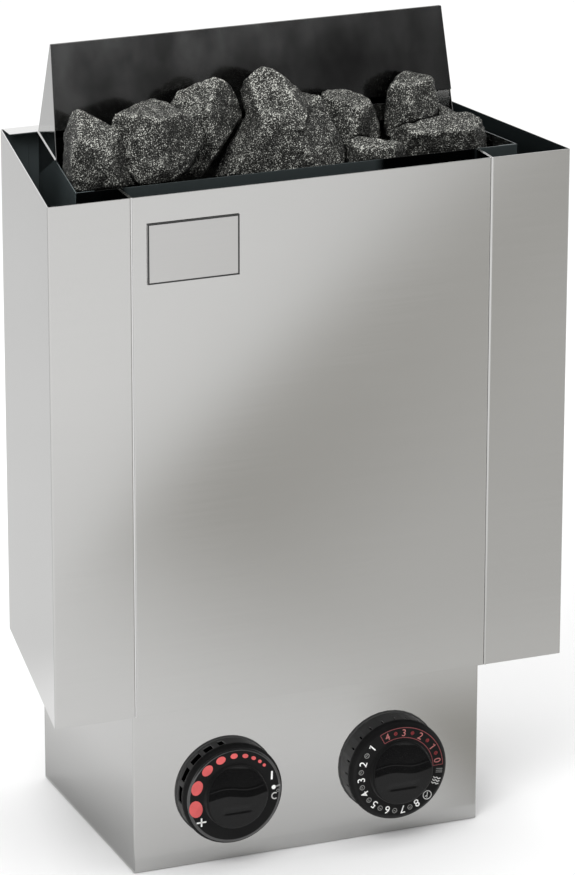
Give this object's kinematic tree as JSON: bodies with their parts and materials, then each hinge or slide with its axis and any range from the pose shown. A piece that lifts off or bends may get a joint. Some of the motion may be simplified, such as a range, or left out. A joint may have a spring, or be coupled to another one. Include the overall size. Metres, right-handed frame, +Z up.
{
  "type": "sauna heater stove",
  "caption": "Wall-hung electric sauna heater: tapered sheet-steel mantle round a stone-filled casing with a rear guard, over a control box with thermostat and timer dials.",
  "frame": {"origin": "middle of the footprint, on the flat underside of the control box", "axes": "+Z up, -Y out of the front towards the user, +Y towards the wall, +X to the right seen from the front"},
  "size_m": [0.3396, 0.22, 0.509],
  "materials": {
    "mantle_steel": "satin stainless steel",
    "casing_steel": "polished, dark with reflections",
    "plate_metal": "satin, bare",
    "zinc_steel": "zinc-coated",
    "element_steel": "heat-dulled",
    "copper": "drawn",
    "stone": "rough, finely speckled",
    "dial_plastic": "satin black",
    "button_plastic": "red",
    "switch_ceramic": "unglazed",
    "lead_sleeve": "braided sleeve"
  },
  "bodies": {
    "heater": {"front_panel": "mantle_steel", "side_panel_left": "mantle_steel", "side_panel_right": "mantle_steel", "back_panel": "mantle_steel", "name_plate": "plate_metal", "casing_front_wall": "casing_steel", "casing_left_wall": "casing_steel", "casing_right_wall": "casing_steel", "casing_rear_wall": "casing_steel", "chamber_rear_wall": "casing_steel", "guard_front_plate": "casing_steel", "guard_back_plate": "casing_steel", "guard_end_left": "mantle_steel", "guard_end_right": "mantle_steel", "grate_rail_front": "zinc_steel", "grate_rail_rear": "zinc_steel", "stone_grate": "zinc_steel", "heating_element_1": "element_steel", "heating_element_2": "element_steel", "heating_element_3": "element_steel", "element_plate": "zinc_steel", "element_link_bar": "copper", "stone_01": "stone", "stone_02": "stone", "stone_03": "stone", "stone_04": "stone", "stone_05": "stone", "stone_06": "stone", "stone_07": "stone", "stone_08": "stone", "stone_09": "stone", "stone_10": "stone", "stone_11": "stone", "stone_12": "stone", "stone_bed": "stone", "control_box_shell": "mantle_steel", "control_box_top": "zinc_steel", "bottom_cover": "mantle_steel", "thermostat_bezel": "dial_plastic", "thermostat_body": "switch_ceramic", "timer_bezel": "dial_plastic", "timer_body": "switch_ceramic", "limiter_body": "dial_plastic", "terminal_block": "switch_ceramic", "supply_gland": "dial_plastic", "supply_gland_nut": "dial_plastic", "thermostat_bulb": "copper", "bulb_clip": "zinc_steel", "lead_timer_to_thermostat": "lead_sleeve", "lead_supply_to_timer": "lead_sleeve", "lead_thermostat_to_limiter": "lead_sleeve", "lead_limiter_to_element": "lead_sleeve", "wall_rack": "zinc_steel", "lower_spacer": "zinc_steel"},
    "thermostat_dial": {"thermostat_knob": "dial_plastic", "thermostat_spindle": "zinc_steel"},
    "timer_dial": {"timer_knob": "dial_plastic", "timer_spindle": "zinc_steel"},
    "reset": {"reset_button": "button_plastic"}
  },
  "joints": [
    {"name": "thermostat_turn", "type": "hinge", "parent": "heater", "child": "thermostat_dial", "pos_m": [-0.056, -0.09, 0.05], "axis": [0, 1, 0], "range_deg": [0, 214]},
    {"name": "timer_turn", "type": "hinge", "parent": "heater", "child": "timer_dial", "pos_m": [0.054, -0.09, 0.05], "axis": [0, 1, 0], "range_deg": [0, 291]},
    {"name": "reset_press", "type": "slide", "parent": "heater", "child": "reset", "axis": [0, 0, 1], "range_m": [0, 0.0025], "stiffness_N_per_m": 400, "springref_m": -0.002}
  ]
}
